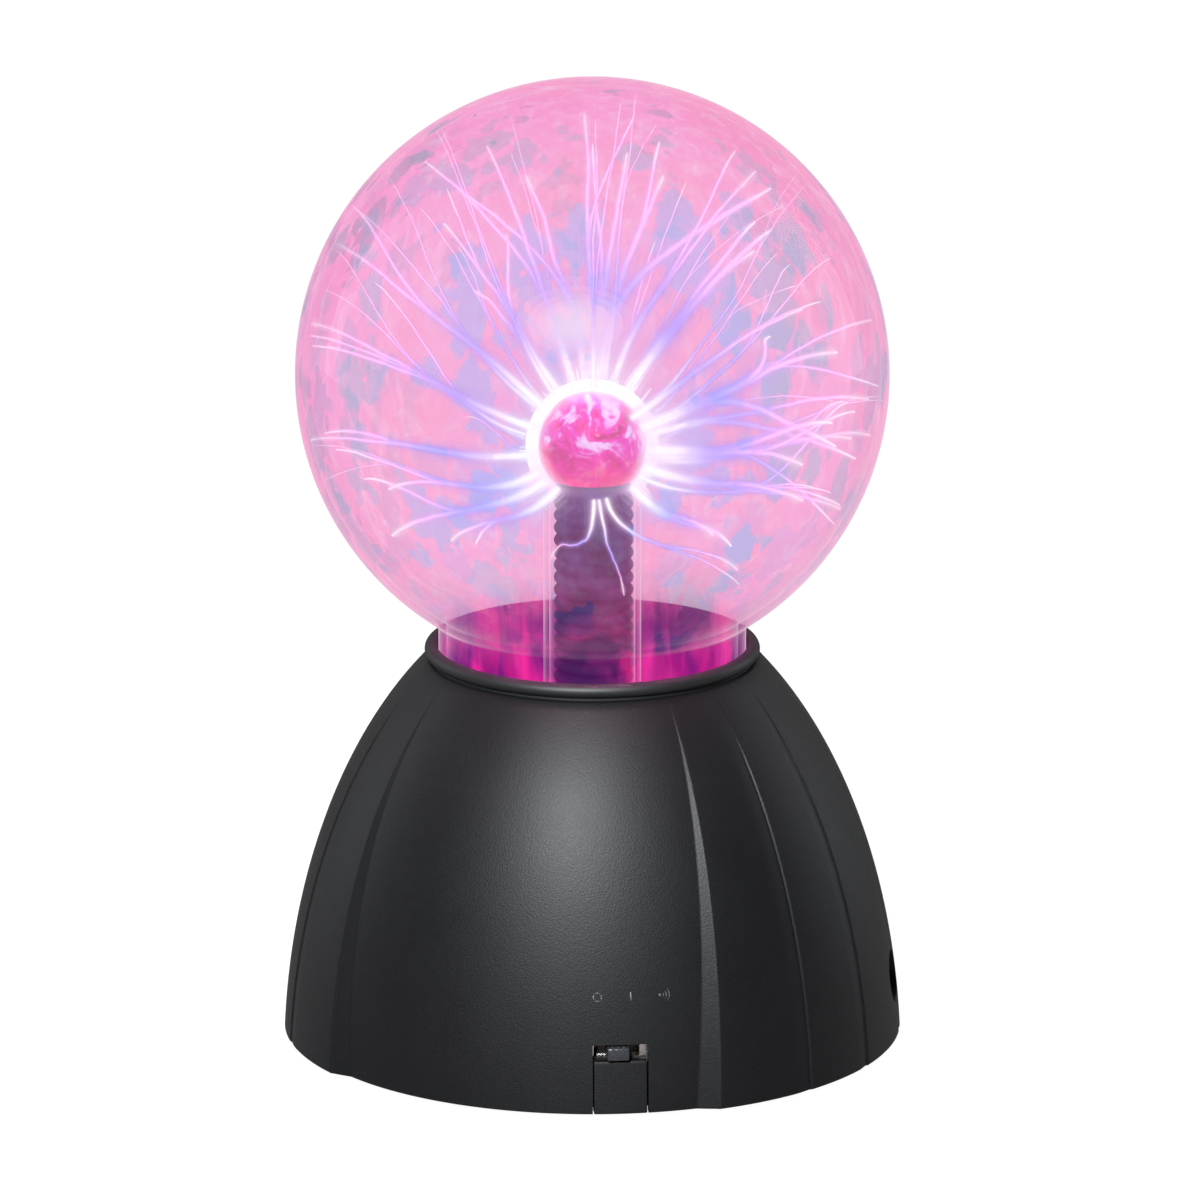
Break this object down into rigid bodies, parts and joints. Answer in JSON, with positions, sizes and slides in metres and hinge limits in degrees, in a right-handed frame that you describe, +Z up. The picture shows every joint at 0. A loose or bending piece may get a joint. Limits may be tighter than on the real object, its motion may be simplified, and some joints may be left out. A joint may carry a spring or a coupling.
{
  "type": "plasma ball",
  "caption": "Gas-filled glass globe with a central electrode bulb on a stem, standing on a sculpted black dome base with a slide switch and a low-voltage power jack.",
  "frame": {"origin": "on the globe's vertical axis, in the plane that the rubber feet rest on", "axes": "+Z up along the globe's axis, -Y out of the slide switch, +X to the right seen from the switch's side"},
  "size_m": [0.126, 0.122, 0.1981],
  "materials": {
    "shell_plastic": "fine-textured black moulding",
    "collar_plastic": "smooth satin black bead",
    "cover_plastic": "fine-textured black moulding",
    "foot_rubber": "soft black rubber",
    "zinc_steel": "zinc-plated",
    "globe_glass": "clear blown glass",
    "stem_glass": "clear drawn glass",
    "electrode_wool": "matted steel wool lit by the discharge",
    "brass": "turned",
    "sleeve_plastic": "corrugated black tube",
    "lead_silicone": "red silicone insulation",
    "foam_rubber": "closed-cell foam",
    "board": "paper laminate, solder side down",
    "ferrite": "pressed ferrite",
    "bobbin_plastic": "moulded",
    "potting": "epoxy-potted winding",
    "epoxy_black": "moulded epoxy",
    "tinned_metal": "tinned",
    "aluminium": "extruded",
    "capacitor_sleeve": "shrunk sleeve",
    "capacitor_red": "dipped",
    "capacitor_ochre": "dipped disc",
    "resistor_body": "lacquered",
    "jack_plastic": "moulded",
    "nickel": "nickel-plated",
    "phenolic": "pressed laminate",
    "knob_plastic": "moulded"
  },
  "bodies": {
    "body": {"base_shell": "shell_plastic", "collar_ring": "collar_plastic", "bottom_cover": "cover_plastic", "rubber_feet": "foot_rubber", "cover_screws": "zinc_steel", "globe_glass": "globe_glass", "stem_glass": "stem_glass", "exhaust_tip": "stem_glass", "electrode_wool": "electrode_wool", "contact_cap": "brass", "stem_sleeve": "sleeve_plastic", "hv_lead": "lead_silicone", "neck_gasket": "foam_rubber", "neck_clamp": "cover_plastic", "clamp_screws": "zinc_steel", "circuit_board": "board", "board_screws": "zinc_steel", "transformer_core": "ferrite", "transformer_bobbin": "bobbin_plastic", "transformer_winding": "potting", "transistor_body": "epoxy_black", "transistor_tab": "tinned_metal", "heat_sink": "aluminium", "heat_sink_screw": "zinc_steel", "electrolytic_capacitors": "capacitor_sleeve", "film_capacitors": "capacitor_red", "ceramic_capacitors": "capacitor_ochre", "resistors": "resistor_body", "timer_chip": "epoxy_black", "chip_legs": "tinned_metal", "microphone": "aluminium", "jack_body": "jack_plastic", "jack_pin": "nickel", "jack_tags": "tinned_metal", "switch_frame": "nickel", "switch_base": "phenolic", "switch_terminals": "tinned_metal"},
    "knob": {"switch_slider": "knob_plastic"}
  },
  "joints": [
    {"name": "switch_slide", "type": "slide", "parent": "body", "child": "knob", "axis": [1, 0, 0], "range_m": [-0.002, 0.002]}
  ]
}
